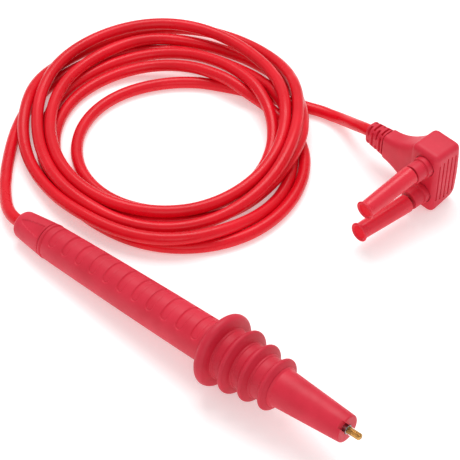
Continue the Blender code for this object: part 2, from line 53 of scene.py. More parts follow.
# Probe, in mm. Stations run along the probe's axis from the middle of the first guard rib.
BOOT_END = -115.5
SEAM = -98.0
GUARD_REAR = -5.7
NOSE_END = 62.0
STUD_END = 68.3
ROD_ENDS = (-62.0, 56.7)
HANDLE_REAR_RADIUS = 7.75
HANDLE_FRONT_RADIUS = 9.15
LIP_RADIUS = 7.9
FACET_TURN = math.radians(24)
NOSE_REAR_RADIUS = 7.9
NOSE_END_RADIUS = 5.75
RIB_STATIONS = (0.0, 10.0, 18.8, 27.8)
RIB_RADII = (15.5, 13.6, 12.2, 11.0)
RIB_HALF_WIDTHS = (2.7, 2.1, 2.0, 1.9)
GROOVE_RADII = (10.6, 9.6, 9.0)
GRIP_COUNT = 11
GRIP_PITCH = 8.2
FIRST_GRIP = -91.0
GRIP_WIDTH = 4.0
GRIP_SPREAD = math.radians(102)
SLOT_WIDTH = 3.2
SLOT_DEPTH = 1.3
SLOT_TURN = math.radians(32)
FERRULE_RADIUS = 1.9
FERRULE_ENDS = (59.2, 62.4)
STUD_RADIUS = 1.45
THREAD_PITCH = 0.7

# Cable, in mm.
CABLE_RADIUS = 2.75
CABLE_BORE = CABLE_RADIUS + 0.12
COIL_CENTRE = (-85.0, 84.2)
PROBE_RUN = (
    (-98.5, 0.3, 6.0),
    (-106.0, 3.6, 4.7),
    (-115.0, 10.4, 3.2),
    (-121.5, 16.8, 2.85),
    (-127.3, 23.3, 2.77),
)
# These points and COIL_EXIT come from a fit of the cable to the photo, rounded, with one then moved.
PLUG_RUN = (
    (-40.5, 143.9, 3.3),
    (-32.6, 143.1, 5.7),
    (-23.0, 139.7, 10.7),
)
# Where the coil's last turn leaves it, under the turns outside it.
COIL_EXIT = (-53.1, 140.9, 2.77)
# The coil, turn by turn: how far from its middle the cable lies, in mm, and how many diameters up,
# at every eighth of a turn, going clockwise from the place where the probe's lead joins it. The numbers
# come from a fit to the coil as traced in the photo, rounded, with a few of them then changed.
COIL_START = math.radians(-135)
COIL_TURNS = (
    ((71.5, 67.5, 62.0, 54.0, 55.0, 62.0, 69.0, 63.0), (0.0, 0.0, 0.0, 0.3, 1.1, 0.1, 0.9, 0.8)),
    ((66.5, 72.0, 77.0, 68.0, 57.0, 56.5, 59.0, 59.0), (0.8, 0.5, 0.6, 1.1, 2.0, 1.5, 0.5, 1.0)),
    ((59.5, 70.0, 72.0, 59.5, 51.5, 50.0, 52.0, 53.0), (1.2, 1.5, 1.9, 1.7, 1.7, 1.6, 1.0, 0.8)),
    ((54.0, 61.0, 65.5, 64.5, 59.0, 55.0, 54.5, 54.5), (1.0, 0.9, 0.8, 0.1, 1.1, 0.4, 0.0, 0.0)),
    ((53.0, 52.5, 47.0, 42.5, 55.0, 67.5, 68.5, 60.0), (0.0, 0.1, 1.0, 0.9, 0.0, 0.0, 0.0, 0.0)),
    ((58.0, 59.5, 55.0, 47.0, 46.0, 46.5, 47.5, 46.5), (0.0, 0.0, 1.2, 1.5, 1.2, 0.1, 0.0, 0.0)),
    ((42.5, 39.0, 37.5, 44.5), (0.0, 0.0, 0.0, 0.0)),
)

# Plug, in mm, in its own frame: u along the cable arm and away from it, v away from the pins.
BLOCK_WIDTH = 15.0
BLOCK_DEPTH = 15.6
PLUG_HEIGHT = 32.0
BLOCK_ROUNDING = 2.6
BLOCK_CORNER = 2.5
PIN_PITCH = 15.2
PIN_MIDDLE = 16.7
PIN_U = 0.9
ARM_V = -0.6
ARM_HEIGHT = 15.0
ARM_END = -25.6
RELIEF_END = -36.2
COLLAR_LENGTH = 8.0
COLLAR_RADIUS = 4.4
COLLAR_BASE_RADIUS = 4.8
CAP_LENGTH = 28.0
CAP_BASE_RADIUS = 4.1
CAP_END_RADIUS = 3.7
CAP_LIP_RADIUS = 4.4
CAP_BORE = 3.1
CAP_PIVOT = 8.5
CAP_STANDOFFS = {"upper": 0.0, "lower": 1.2}

MOUNTS = {mount["name"]: mount for mount in frame["record"]["mounts"]}
CAP_JOINTS = {joint["child"]: joint for joint in frame["record"]["behaviour"]["joints"]}


def axes_matrix(x, y, z, origin):
    """A frame from its three axes and its origin, all in the row frame, in metres."""
    matrix = Matrix((x, y, z)).transposed().to_4x4()
    matrix.translation = origin
    return matrix


def node_centre(node):
    low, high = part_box(node)
    return (Vector(low) + Vector(high)) / 2


def probe_frame():
    """Local +Z runs along the probe to its tip, and local -X is up."""
    along = Vector(MOUNTS["tip_seat"]["axis"]).normalized()
    side = Vector((0, 1, 0))
    middle = sum(ROD_ENDS) / 2
    return axes_matrix(side.cross(along), side, along, node_centre("probe_rod") - along * middle * MM)


def plug_frame():
    """Local x is u, local y is v and local z is up, from the floor."""
    v = -Vector(MOUNTS["plug_seat"]["axis"]).normalized()
    up = Vector((0, 0, 1))
    u = v.cross(up)
    seat = Vector(MOUNTS["plug_seat"]["pos_m"])
    origin = seat - (u * PIN_U - v * BLOCK_DEPTH / 2 + up * PIN_MIDDLE) * MM
    return axes_matrix(u, v, up, origin)


def pin_frame(height):
    """Local +Z runs out along a pin from the block's face."""
    out = Matrix.Rotation(math.pi / 2, 4, "X")
    return PLUG @ Matrix.Translation(Vector((PIN_U, -BLOCK_DEPTH / 2, height)) * MM) @ out


def cap_frame(side, height):
    """The pin's frame, tilted about a point part way out so that it follows the cap's own slide."""
    pin = pin_frame(height)
    slide = Vector(CAP_JOINTS["cap_" + side]["axis"]).normalized()
    local = pin.to_3x3().inverted() @ slide
    pivot = Vector((0, 0, COLLAR_LENGTH + GAP + CAP_PIVOT)) * MM
    tilt = Vector((0, 0, 1)).rotation_difference(local).to_matrix().to_4x4()
    return pin @ Matrix.Translation(pivot) @ tilt @ Matrix.Translation(-pivot)


PROBE = probe_frame()
PLUG = plug_frame()
PIN_HEIGHTS = {"upper": PIN_MIDDLE + PIN_PITCH / 2, "lower": PIN_MIDDLE - PIN_PITCH / 2}


# ---------------------------------------------------------------- camera, lights and floor

CAMERA_PLACE = (0.2820, -0.2824, 0.4791)
CAMERA_TARGET = (-0.0282, 0.0608, 0.0)
CAMERA_LENS = 121.5
FLOOR_SIDE = 4.0


def aimed(obj, place, target):
    obj.location = place
    obj.rotation_euler = (Vector(target) - Vector(place)).to_track_quat("-Z", "Y").to_euler()


def make_camera():
    data = bpy.data.cameras.new("camera")
    data.lens = CAMERA_LENS
    data.sensor_width = 36.0
    data.clip_start = 0.01
    camera = bpy.data.objects.new("camera", data)
    bpy.context.collection.objects.link(camera)
    aimed(camera, CAMERA_PLACE, CAMERA_TARGET)
    bpy.context.scene.camera = camera


def area_light(name, place, size, power, target=(-0.03, 0.06, 0.0)):
    data = bpy.data.lights.new(name, "AREA")
    data.shape = "RECTANGLE"
    data.size, data.size_y = size
    data.energy = power
    light = bpy.data.objects.new(name, data)
    bpy.context.collection.objects.link(light)
    aimed(light, place, target)


def make_lights():
    area_light("key_light", (-0.45, 0.55, 1.3), (1.0, 0.8), 12.5)
    area_light("front_light", (0.9, -0.9, 0.9), (0.8, 0.8), 3.0)
    world = bpy.data.worlds.new("studio")
    world.use_nodes = True
    background = world.node_tree.nodes["Background"]
    background.inputs["Color"].default_value = (1.0, 1.0, 1.0, 1.0)
    background.inputs["Strength"].default_value = 0.58
    bpy.context.scene.world = world
    bpy.context.scene.view_settings.view_transform = "Standard"


def make_floor():
    mesh = bpy.data.meshes.new("floor")
    half = FLOOR_SIDE / 2
    corners = [(-half, -half, 0), (half, -half, 0), (half, half, 0), (-half, half, 0)]
    mesh.from_pydata(corners, [], [(0, 1, 2, 3)])
    floor = bpy.data.objects.new("floor", mesh)
    bpy.context.collection.objects.link(floor)
    mesh.materials.append(plain_floor())


# ---------------------------------------------------------------- materials


class Shader:
    """A material's node tree, with short calls for the nodes that this file uses."""

    def __init__(self, name, roughness, metallic=0.0):
        self.material = bpy.data.materials.new(name)
        self.material.use_nodes = True
        self.tree = self.material.node_tree
        self.body = self.tree.nodes["Principled BSDF"]
        self.body.inputs["Roughness"].default_value = roughness
        self.body.inputs["Metallic"].default_value = metallic
        self.place = self.tree.nodes.new("ShaderNodeTexCoord").outputs["Object"]

    def node(self, kind, **settings):
        made = self.tree.nodes.new(kind)
        for key, value in settings.items():
            setattr(made, key, value)
        return made

    def link(self, source, target):
        self.tree.links.new(source, target)

    def noise(self, per_metre, detail=4.0, roughness=0.55, stretch=None):
        """Noise with so many blobs to the metre, and longer along an axis where stretch is under 1."""
        made = self.node("ShaderNodeTexNoise")
        made.inputs["Scale"].default_value = per_metre
        made.inputs["Detail"].default_value = detail
        made.inputs["Roughness"].default_value = roughness
        source = self.place
        if stretch:
            scaled = self.node("ShaderNodeMapping")
            scaled.inputs["Scale"].default_value = stretch
            self.link(source, scaled.inputs["Vector"])
            source = scaled.outputs["Vector"]
        self.link(source, made.inputs["Vector"])
        return made.outputs["Fac"]

    def ranged(self, source, low, high, from_low=0.3, from_high=0.7):
        made = self.node("ShaderNodeMapRange")
        made.inputs["From Min"].default_value = from_low
        made.inputs["From Max"].default_value = from_high
        made.inputs["To Min"].default_value = low
        made.inputs["To Max"].default_value = high
        self.link(source, made.inputs["Value"])
        return made.outputs["Result"]

    def blend(self, factor, first, second):
        """A colour between two, each a colour or a socket."""
        made = self.node("ShaderNodeMix", data_type="RGBA")
        self.link(factor, made.inputs["Factor"])
        for socket, value in (("A", first), ("B", second)):
            target = [s for s in made.inputs if s.name == socket and s.type == "RGBA"][0]
            if isinstance(value, tuple):
                target.default_value = (*value, 1.0)
            else:
                self.link(value, target)
        return [s for s in made.outputs if s.type == "RGBA"][0]

    def bump(self, height, strength, depth, under=None):
        made = self.node("ShaderNodeBump")
        made.inputs["Strength"].default_value = strength
        made.inputs["Distance"].default_value = depth
        self.link(height, made.inputs["Height"])
        if under:
            self.link(under, made.inputs["Normal"])
        return made.outputs["Normal"]

    def edges(self, low=0.52, high=0.62):
        """1 along raised edges and 0 on flats."""
        geometry = self.node("ShaderNodeNewGeometry")
        return self.ranged(geometry.outputs["Pointiness"], 0.0, 1.0, low, high)


def moulded_red(name, colour, roughness, grain, tint=0.12):
    """Moulded plastic or rubber: spark-textured grain, faint flow marks and edges rubbed paler."""
    shader = Shader(name, roughness)
    shader.body.inputs["Specular IOR Level"].default_value = 0.3
    deep = tuple(c * (1 - tint) for c in colour)
    pale = (min(1.0, colour[0] * 1.04), colour[1] * 1.25 + 0.004, colour[2] * 1.2 + 0.004)
    mottle = shader.ranged(shader.noise(70, 5.0), 0.0, 1.0)
    body = shader.blend(mottle, deep, pale)
    rubbed = (min(1.0, colour[0] * 1.1), colour[1] * 1.7 + 0.02, colour[2] * 1.6 + 0.02)
    worn = shader.node("ShaderNodeMath", operation="MULTIPLY")
    shader.link(shader.edges(), worn.inputs[0])
    shader.link(shader.ranged(shader.noise(260, 3.0), 0.05, 0.45), worn.inputs[1])
    shader.link(shader.blend(worn.outputs["Value"], body, rubbed), shader.body.inputs["Base Color"])
    patches = shader.ranged(shader.noise(120, 4.0), roughness - 0.06, roughness + 0.07)
    shader.link(patches, shader.body.inputs["Roughness"])
    coarse = shader.bump(shader.noise(420, 2.0), 0.10, 0.0004)
    fine = shader.bump(shader.noise(grain, 3.0, 0.7), 0.16, 0.00012, coarse)
    shader.link(fine, shader.body.inputs["Normal"])
    return shader


def cable_red():
    """Silicone jacket: glossy, with long faint draw marks and a little dust."""
    shader = Shader("cable_red", 0.30)
    mottle = shader.ranged(shader.noise(45, 4.0), 0.0, 1.0)
    body = shader.blend(mottle, (0.68, 0.003, 0.012), (0.82, 0.006, 0.020))
    dust = shader.ranged(shader.noise(900, 5.0, 0.65), 0.0, 0.03, 0.55, 0.8)
    shader.link(shader.blend(dust, body, (0.9, 0.5, 0.5)), shader.body.inputs["Base Color"])
    shader.link(shader.ranged(shader.noise(160, 4.0), 0.24, 0.36), shader.body.inputs["Roughness"])
    shader.body.inputs["Specular IOR Level"].default_value = 0.22
    shader.body.inputs["Coat Weight"].default_value = 0.10
    shader.body.inputs["Coat Roughness"].default_value = 0.2
    waves = shader.bump(shader.noise(240, 2.0), 0.12, 0.0003)
    shader.link(shader.bump(shader.noise(2600, 3.0), 0.05, 0.00006, waves), shader.body.inputs["Normal"])
    shader.material.diffuse_color = (0.66, 0.010, 0.018, 1.0)
    return shader.material


def metal(name, colour, shadow, roughness, streaks):
    """Turned metal: fine lines round the axis, painted dark reflections in patches, bright rubbed edges and
    painted shade in the hollows.
    """
    shader = Shader(name, roughness, 1.0)
    # Painted dark reflection: noise patches blend the metal's colour towards the darker shadow colour.
    patches = shader.ranged(shader.noise(500, 5.0, 0.6), 0.0, 1.0, 0.35, 0.65)
    body = shader.blend(patches, colour, shadow)
    bright = tuple(min(1.0, c * 1.15 + 0.05) for c in colour)
    # Painted shade: where pointiness is low, as in thread roots, the colour is taken two lines down towards
    # a deepened shadow colour.
    painted_valley_shade = tuple(c * 0.35 for c in shadow)
    worn = shader.blend(shader.edges(), body, bright)
    shader.link(shader.blend(shader.edges(0.48, 0.40), worn, painted_valley_shade), shader.body.inputs["Base Color"])
    shader.link(
        shader.ranged(shader.noise(700, 4.0), roughness - 0.07, roughness + 0.12),
        shader.body.inputs["Roughness"],
    )
    lines = shader.noise(streaks, 2.0, 0.5, stretch=(0.12, 0.12, 1.0))
    shader.link(shader.bump(lines, 0.12, 0.00005), shader.body.inputs["Normal"])
    return shader.material


def liner_white():
    shader = Shader("liner_white", 0.45)
    mottle = shader.ranged(shader.noise(150, 4.0), 0.0, 1.0)
    shader.link(
        shader.blend(mottle, (0.76, 0.75, 0.70), (0.84, 0.83, 0.79)), shader.body.inputs["Base Color"]
    )
    shader.link(shader.ranged(shader.noise(300), 0.38, 0.52), shader.body.inputs["Roughness"])
    shader.link(shader.bump(shader.noise(2200), 0.08, 0.00005), shader.body.inputs["Normal"])
    return shader.material


def plain_floor():
    shader = Shader("floor_paper", 0.75)
    mottle = shader.ranged(shader.noise(3.0), 0.0, 1.0)
    shader.link(
        shader.blend(mottle, (0.90, 0.90, 0.90), (0.93, 0.93, 0.93)), shader.body.inputs["Base Color"]
    )
    shader.body.inputs["Specular IOR Level"].default_value = 0.1
    shader.body.inputs["Emission Color"].default_value = (1.0, 1.0, 1.0, 1.0)
    shader.body.inputs["Emission Strength"].default_value = 0.3
    return shader.material


def make_materials():
    matte = moulded_red("matte_red", (0.70, 0.018, 0.044), 0.46, 2600)
    guard = moulded_red("guard_red", (0.63, 0.016, 0.040), 0.48, 2200)
    cap = moulded_red("cap_red", (0.78, 0.022, 0.045), 0.30, 3200, tint=0.05)
    cap_end = moulded_red("cap_end", (0.82, 0.004, 0.018), 0.55, 3200, tint=0.05)
    cap_end.body.inputs["Specular IOR Level"].default_value = 0.08
    return {
        "matte_red": matte.material,
        "guard_red": guard.material,
        "cap_red": cap.material,
        "cap_end": cap_end.material,
        "cable_red": cable_red(),
        "liner_white": liner_white(),
        "brass": metal("brass", (0.70, 0.38, 0.11), (0.22, 0.10, 0.03), 0.18, 5200),
        "steel": metal("steel", (0.50, 0.48, 0.46), (0.20, 0.18, 0.18), 0.28, 5200),
        "copper": metal("copper", (0.78, 0.36, 0.20), (0.52, 0.20, 0.11), 0.34, 4200),
    }


# ---------------------------------------------------------------- mesh tools


def new_object(name, mesh, slot, place, body="root", smooth=32.0):
    """A finished piece: placed, shaded, given its material and made to ride on its body."""
    obj = bpy.data.objects.new(name, mesh)
    bpy.context.collection.objects.link(obj)
    obj.matrix_world = place
    mesh.materials.clear()
    mesh.materials.append(MATERIALS[slot])
    mesh.shade_smooth()
    mesh.set_sharp_from_angle(angle=math.radians(smooth))
    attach(obj, body)
    return obj


def skin(name, rings, looped):
    """A closed mesh over rings of points in mm. A loop joins the last ring to the first."""
    rings = np.asarray(rings, float)
    count, sides = rings.shape[:2]
    index = np.arange(count * sides).reshape(count, sides)
    around = np.roll(index, -1, axis=1)
    below = np.roll(index, -1, axis=0)
    below_around = np.roll(around, -1, axis=0)
    rows = count if looped else count - 1
    quads = np.stack([index, around, below_around, below], axis=2)[:rows].reshape(-1, 4)
    faces = quads.tolist()
    if not looped:
        faces += [index[0, ::-1].tolist(), index[-1].tolist()]
    mesh = bpy.data.meshes.new(name)
    mesh.from_pydata((rings.reshape(-1, 3) * MM).tolist(), [], faces)
    shape = bmesh.new()
    shape.from_mesh(mesh)
    bmesh.ops.recalc_face_normals(shape, faces=shape.faces)
    shape.to_mesh(mesh)
    shape.free()
    return mesh


def ring_angles(sides):
    return np.arange(sides) * 2 * math.pi / sides


def turned(name, profile, sides=96, looped=True):
    """A mesh turned about local Z from (radius, station) points."""
    angles = ring_angles(sides)
    rings = [
        np.stack([r * np.cos(angles), r * np.sin(angles), np.full(sides, z)], axis=1)
        for r, z in profile
    ]
    return skin(name, rings, looped)


def shell_ring(radius, from_top, station):
    """A ring of points round local Z, its angles counted from the top, which is local -X."""
    return np.stack(
        [-radius * np.cos(from_top), radius * np.sin(from_top), np.full(len(from_top), station)], axis=1
    )


def angles_from_top(sides):
    """Evenly spaced angles round from the top, each counted as no more than half a turn either way."""
    return (ring_angles(sides) + math.pi) % (2 * math.pi) - math.pi


def fillet(corners, steps=5, closed=True):
    """Points along an outline whose corners (radius, station, rounding) are rounded."""
    found = []
    count = len(corners)
    for i, (r, z, size) in enumerate(corners):
        here = Vector((r, z))
        if size <= 0 or (not closed and i in (0, count - 1)):
            found.append((r, z))
            continue
        before = Vector(corners[i - 1][:2]) - here
        after = Vector(corners[(i + 1) % count][:2]) - here
        half = before.angle(after) / 2
        reach = min(size / math.tan(half), before.length * 0.48, after.length * 0.48)
        start = here + before.normalized() * reach
        end = here + after.normalized() * reach
        for step in range(steps + 1):
            t = step / steps
            point = start * (1 - t) ** 2 + here * 2 * t * (1 - t) + end * t**2
            found.append((point.x, point.y))
    return found


def arc(centre, radius, start, end, count):
    """Points (r, z) on an arc about a centre, from one angle to another, in degrees."""
    angles = np.radians(np.linspace(start, end, count + 1))
    return [(centre[0] + radius * math.cos(a), centre[1] + radius * math.sin(a)) for a in angles]


def scratch(name, mesh, place=None):
    """An object that only helps to make a piece, and is removed again."""
    obj = bpy.data.objects.new(name, mesh)
    bpy.context.collection.objects.link(obj)
    obj.matrix_world = place or Matrix()
    return obj


def baked(obj, drop=()):
    """The object's mesh with its modifiers applied. The object and its helpers are then removed."""
    bpy.context.view_layer.update()
    graph = bpy.context.evaluated_depsgraph_get()
    mesh = bpy.data.meshes.new_from_object(obj.evaluated_get(graph))
    for gone in (obj, *drop):
        bpy.data.objects.remove(gone, do_unlink=True)
    return mesh


def cut(target, cutter):
    modifier = target.modifiers.new("Cut", "BOOLEAN")
    modifier.operation = "DIFFERENCE"
    modifier.solver = "EXACT"
    modifier.object = cutter


def box_mesh(name, sides, centre=(0, 0, 0), rounding=0.0):
    shape = bmesh.new()
    bmesh.ops.create_cube(shape, size=1.0)
    bmesh.ops.scale(shape, vec=[side * MM for side in sides], verts=shape.verts)
    if rounding:
        bmesh.ops.bevel(
            shape, geom=shape.edges[:], offset=rounding * MM, segments=4, profile=0.5, affect="EDGES"
        )
    bmesh.ops.translate(shape, vec=Vector(centre) * MM, verts=shape.verts)
    mesh = bpy.data.meshes.new(name)
    shape.to_mesh(mesh)
    shape.free()
    return mesh


def smoothstep(x, low, high):
    t = np.clip((x - low) / (high - low), 0.0, 1.0)
    return t * t * (3 - 2 * t)


# ---------------------------------------------------------------- cable


def catmull_rom(points, steps):
    """A smooth curve through points, with so many steps from each to the next."""
    points = np.asarray(points, float)
    ends = np.concatenate([[2 * points[0] - points[1]], points, [2 * points[-1] - points[-2]]])
    t = np.linspace(0, 1, steps, endpoint=False)[:, None]
    found = []
    for a, b, c, d in zip(ends, ends[1:], ends[2:], ends[3:]):
        found.append(
            0.5 * (2 * b + (c - a) * t + (2 * a - 5 * b + 4 * c - d) * t**2 + (3 * b - a - 3 * c + d) * t**3)
        )
    return np.concatenate([*found, points[-1:]])


def evenly(points, spacing):
    """The same line with its points one spacing apart."""
    reach = np.concatenate([[0], np.cumsum(np.linalg.norm(np.diff(points, axis=0), axis=1))])
    places = np.linspace(0, reach[-1], round(reach[-1] / spacing) + 1)
    return np.stack([np.interp(places, reach, points[:, k]) for k in range(3)], axis=1)


def coil_route():
    """The coil's centreline, worked out turn by turn."""
    radii = [r for turn in COIL_TURNS for r in turn[0]]
    layers = [layer for turn in COIL_TURNS for layer in turn[1]]
    angles = COIL_START - np.arange(len(radii)) * math.pi / 4
    heights = CABLE_RADIUS * (1 + 2 * np.array(layers))
    line = catmull_rom(np.stack([angles, radii, heights], axis=1), 12)
    turn, radius, height = line.T
    x = COIL_CENTRE[0] + radius * np.cos(turn)
    y = COIL_CENTRE[1] + radius * np.sin(turn)
    return np.stack([x, y, np.maximum(height, CABLE_RADIUS)], axis=1)


def eased(line, stride, share):
    """The line with its kinks spread over neighbours so many points away. Even curves stay as they are."""
    s = stride
    even = line.copy()
    ends = line[: -4 * s] + line[4 * s :]
    near = line[s : -3 * s] + line[3 * s : -s]
    even[2 * s : -2 * s] = (10 * line[2 * s : -2 * s] + 4 * near - ends) / 16
    return line + share * (even - line)


def pushed_apart(line, diameter, apart):
    """The line with each pair of points that are closer than a diameter moved away from each other."""
    square = (line**2).sum(axis=1)
    distance = square[:, None] + square[None] - 2 * line @ line.T
    i, j = np.nonzero((distance < diameter**2) & apart)
    between = np.sqrt(np.maximum(distance[i, j], 1e-9))
    push = np.zeros_like(line)
    touches = np.zeros(len(line))
    np.add.at(push, i, (line[i] - line[j]) * ((diameter - between) / between / 4)[:, None])
    np.add.at(touches, i, 1)
    line = line + push / np.maximum(1, touches / 2)[:, None]
    line[:, 2] = np.maximum(line[:, 2], CABLE_RADIUS)
    return line


def settle(line, rounds, held):
    """Lets the cable sink under its weight until each turn rests on the floor or on the turns below.

    Its first and last points are held, the floor's grip keeps the coil's shape, stiffness spreads
    each kink, and turns that touch push apart."""
    sink, grip = 0.02, 0.05
    diameter = 2 * CABLE_RADIUS * 1.01
    home = line.copy()
    order = np.arange(len(line))
    apart = np.abs(order[:, None] - order[None]) > 5
    free = (order >= held) & (order < len(line) - held)
    for _ in range(rounds):
        moved = line.copy()
        moved[:, 2] -= sink
        moved[:, :2] += grip * (home[:, :2] - moved[:, :2])
        for stride, share in ((1, 0.3), (1, 0.3), (3, 0.25), (5, 0.2)):
            moved = eased(moved, stride, share)
        for _ in range(4):
            moved = pushed_apart(moved, diameter, apart)
        line[free] = moved[free]
    return line


def in_frame(matrix, point):
    """A point given in mm in one of the object's own frames, in mm in the row frame."""
    return tuple((matrix @ (Vector(point) * MM)) / MM)


def make_cable():
    """The whole cable: out of the boot, round its coil and into the plug's strain relief."""
    clamp_station = -86.5
    crimp_u = -16.5
    start = [in_frame(PROBE, (0, 0, s)) for s in (clamp_station, -101.0, BOOT_END - GAP)]
    relief = [in_frame(PLUG, (u, ARM_V, ARM_HEIGHT)) for u in (RELIEF_END - GAP, -27.0, crimp_u)]
    coarse = np.array([*start, *PROBE_RUN[:-1], *coil_route()[:-6], COIL_EXIT, *PLUG_RUN, *relief])
    line = evenly(catmull_rom(coarse, 4), 3.0)
    rounds = 90
    line = settle(line, rounds, held=22)
    curve = bpy.data.curves.new("cable", "CURVE")
    curve.dimensions = "3D"
    curve.bevel_depth = CABLE_RADIUS * MM
    curve.bevel_resolution = 5
    curve.use_fill_caps = True
    spline = curve.splines.new("POLY")
    smooth = evenly(catmull_rom(line, 3), 1.5)
    spline.points.add(len(smooth) - 1)
    for point, place in zip(spline.points, smooth * MM):
        point.co = (*place, 1.0)
    spline.use_smooth = True
    curve.materials.append(MATERIALS["cable_red"])
    cable = bpy.data.objects.new("cable", curve)
    bpy.context.collection.objects.link(cable)
    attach(cable, "root")
    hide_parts("cord_coil", "cord_probe_run", "cord_plug_run", "probe_jacket_end", "plug_jacket_end")
    length = float(np.linalg.norm(np.diff(smooth, axis=0), axis=1).sum())
    return cable, length


# ---------------------------------------------------------------- probe


def handle_radius(station):
    """The handle's outer radius: a slight cone that swells a little in the middle."""
    along = (station - SEAM) / (GUARD_REAR - SEAM)
    swell = 0.25 * 4 * along * (1 - along)
    return HANDLE_REAR_RADIUS + (HANDLE_FRONT_RADIUS - HANDLE_REAR_RADIUS) * along + swell


def grip_recess(station, angle):
    """How deep the grip's recesses are: shallow, with round ends, and deepest along the rear edge."""
    depth = np.zeros_like(angle)
    outline = np.zeros_like(angle)
    radius = handle_radius(station)
    reach = np.abs(angle) * radius - (GRIP_SPREAD / 2 * radius - GRIP_WIDTH / 2)
    for index in range(GRIP_COUNT):
        along = station - (FIRST_GRIP + GRIP_PITCH * index)
        edge = np.hypot(along, np.maximum(reach, 0.0)) - GRIP_WIDTH / 2
        floor = 0.34 - 0.05 * along
        depth = np.maximum(depth, floor * (1 - smoothstep(edge, -0.45, 0.12)))
        outline = np.maximum(outline, 0.16 * np.exp(-(((edge + 0.28) / 0.24) ** 2)))
    return depth + outline


def lip_step(station):
    """How far the surface falls below the handle's line at its rear lip and the groove in front of it."""
    from_seam = station - SEAM
    rounding = 0.35 * (1 - smoothstep(from_seam, 0.0, 0.45)) ** 2
    groove = 0.42 * (1 - smoothstep(np.abs(from_seam - 1.85), 0.1, 0.55))
    return rounding + groove


def make_handle():
    from_top = angles_from_top(200)
    front = GUARD_REAR - 0.05
    fine = np.arange(SEAM, SEAM + 3.0, 0.12)
    body = np.arange(SEAM + 3.0, front, 0.22)
    rings = []
    for station in [*fine, *body, front]:
        base = handle_radius(station) + 0.15 * (1 - smoothstep(station - SEAM, 1.2, 1.5))
        radius = base - lip_step(station) - grip_recess(station, from_top)
        rings.append(shell_ring(radius, from_top, station))
    bore = 5.5
    rings += [shell_ring(bore, from_top, station) for station in (front, SEAM)]
    handle = new_object("grip_handle", skin("grip_handle", rings, True), "matte_red", PROBE)
    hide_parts("probe_handle")


def boot_radius(station):
    """The boot's outer radius, rounded over at its rear end."""
    front = SEAM - GAP
    along = (station - front) / (BOOT_END - front)
    radius = LIP_RADIUS - 0.15 - 1.55 * along - 0.25 * along**2
    rounding = 2.0
    into = np.clip((BOOT_END + rounding - station) / rounding, 0.0, 1.0)
    radius = radius - rounding * (1 - np.sqrt(1 - into**2 * 0.96))
    crown = np.clip((station - (front - 0.35)) / 0.35, 0.0, 1.0)
    return radius - 0.3 * crown**2


def make_boot():
    """The tapered rear boot. Its arrow-shaped flat is turned a little to one side and ends in a step."""
    from_top = angles_from_top(144)
    front = SEAM - GAP
    rounded_to = BOOT_END + 2.2
    stations = [*np.arange(BOOT_END, rounded_to, 0.1), *np.arange(rounded_to, front, 0.22), front]
    flat_front = front - 1.1
    flat_length = 12.5
    flat_low = boot_radius(flat_front) - 0.62
    step = 0.4
    flat_rise = (boot_radius(flat_front - flat_length) - flat_low) / flat_length
    rings = []
    for station in stations:
        radius = np.full(len(from_top), float(boot_radius(station)))
        height = flat_low + flat_rise * (flat_front - station)
        plane = height / np.maximum(np.cos(from_top + FACET_TURN), 0.2)
        inside = 1 - smoothstep(station, flat_front - 0.15, flat_front + 0.15)
        below = np.maximum(radius - plane, 0.0)
        radius = radius - (below + step * smoothstep(below, 0.0, 0.03)) * inside
        rings.append(shell_ring(radius, from_top, station))
    rings += [shell_ring(CABLE_BORE, from_top, station) for station in (front, BOOT_END)]
    boot = new_object("cable_boot", skin("cable_boot", rings, True), "matte_red", PROBE, smooth=28)
    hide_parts("rear_boot")


def make_guard():
    """Four round-rimmed ribs with hollowed faces, and a bead at the root of each groove."""
    bore = 5.3
    rear = GUARD_REAR
    front = RIB_STATIONS[-1] + RIB_HALF_WIDTHS[-1] + 0.1
    rear_radius = HANDLE_FRONT_RADIUS + 0.05
    profile = [(bore, rear), (rear_radius, rear)]
    flare_steps = 8
    rim = RIB_RADII[0] - RIB_HALF_WIDTHS[0]
    for step in range(1, flare_steps):
        t = step / flare_steps
        station = rear + (-RIB_HALF_WIDTHS[0] - rear) * math.sin(t * math.pi / 2)
        radius = rear_radius + (rim - HANDLE_FRONT_RADIUS) * (1 - math.cos(t * math.pi / 2))
        profile.append((radius, station))
    for index, centre in enumerate(RIB_STATIONS):
        half = RIB_HALF_WIDTHS[index]
        rim = RIB_RADII[index] - half
        round_off = half * (0.85 if index == 0 else 0.55)
        rim_edge = arc((RIB_RADII[index] - round_off, centre), round_off, -80, 80, 16)
        profile += [(rim, centre - half), *rim_edge, (rim, centre + half)]
        if index == len(RIB_STATIONS) - 1:
            break
        groove = GROOVE_RADII[index]
        following = RIB_STATIONS[index + 1]
        next_half = RIB_HALF_WIDTHS[index + 1]
        next_rim = RIB_RADII[index + 1] - next_half
        face = centre + half
        back = following - next_half
        valley = [
            (rim, face, 0),
            (groove + 0.35, face + 0.25, 0.9),
            (groove + 0.30, face + 0.95, 0.25),
            (groove - 0.1, face + 1.25, 0.3),
            (groove, back - 0.75, 0.5),
            (groove + (next_rim - groove) * 0.55, back - 0.28, 0.3),
            (groove + (next_rim - groove) * 0.62, back - 0.02, 0.15),
            (next_rim, back, 0),
        ]
        profile += fillet(valley, 5, closed=False)[1:-1]
    profile += [(NOSE_REAR_RADIUS + 0.75, front), (bore, front)]
    mesh = turned("ribbed_guard", profile, 128)
    guard = new_object("ribbed_guard", mesh, "guard_red", PROBE)
    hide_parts("finger_guard")


